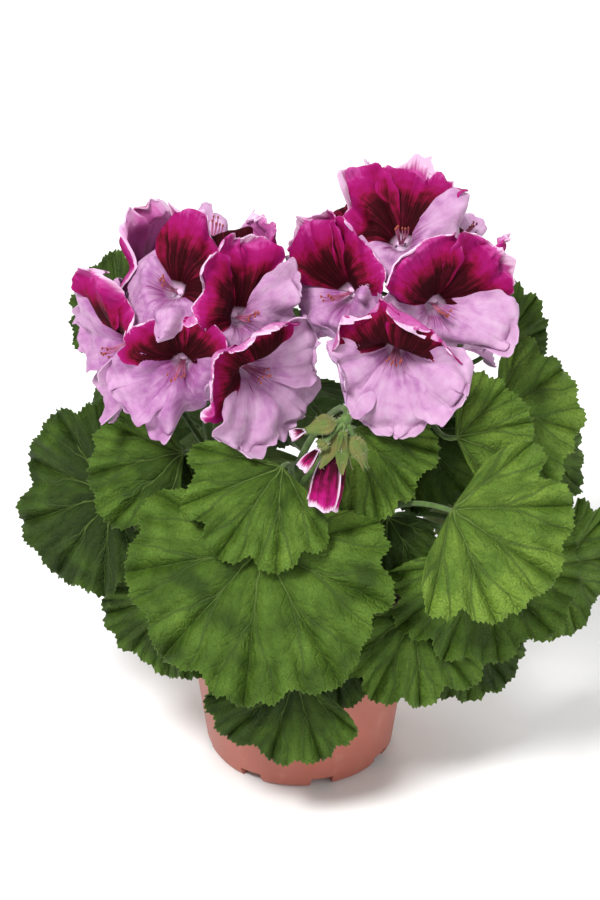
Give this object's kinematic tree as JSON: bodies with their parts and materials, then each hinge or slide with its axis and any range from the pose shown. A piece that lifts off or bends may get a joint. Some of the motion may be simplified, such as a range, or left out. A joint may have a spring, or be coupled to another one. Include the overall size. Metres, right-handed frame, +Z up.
{
  "type": "flowering regal pelargonium in a nursery pot",
  "caption": "Regal pelargonium in a plain round nursery pot: full heads of ruffled, dark-blotched blooms over a mound of broad toothed leaves.",
  "frame": {"origin": "centre of the pot's flat underside, which rests on the ground", "axes": "+Z up along the pot's axis, -Y towards the viewer of the picture, +X to the viewer's right"},
  "size_m": [0.284, 0.2051, 0.3019],
  "materials": {
    "pot": "satin",
    "compost": "matte",
    "green": "matte",
    "dark": "matte",
    "pale": "matte"
  },
  "bodies": {
    "root": {"pot": "pot", "compost": "compost", "shoot_front": "green", "shoot_left": "green", "shoot_right": "green", "shoot_back_left": "green", "shoot_back_right": "green", "bloom_left_1_upper": "dark", "bloom_left_1_lower": "pale", "bloom_left_2_upper": "dark", "bloom_left_2_lower": "pale", "bloom_left_3_upper": "dark", "bloom_left_3_lower": "pale", "bloom_left_4_upper": "dark", "bloom_left_4_lower": "pale", "bloom_left_5_upper": "dark", "bloom_left_5_lower": "pale", "bloom_left_6_upper": "dark", "bloom_left_6_lower": "pale", "bloom_left_7_upper": "dark", "bloom_left_7_lower": "pale", "bloom_left_8_upper": "dark", "bloom_left_8_lower": "pale", "bloom_right_1_upper": "dark", "bloom_right_1_lower": "pale", "bloom_right_2_upper": "dark", "bloom_right_2_lower": "pale", "bloom_right_3_upper": "dark", "bloom_right_3_lower": "pale", "bloom_right_4_upper": "dark", "bloom_right_4_lower": "pale", "bloom_right_5_upper": "dark", "bloom_right_5_lower": "pale", "bloom_right_6_upper": "dark", "bloom_right_6_lower": "pale", "bloom_right_7_upper": "dark", "bloom_right_7_lower": "pale", "bloom_right_8_upper": "dark", "bloom_right_8_lower": "pale", "bud_petals_open": "dark", "bud_petals_dark": "dark", "bud_petals_green": "dark"}
  },
  "joints": []
}
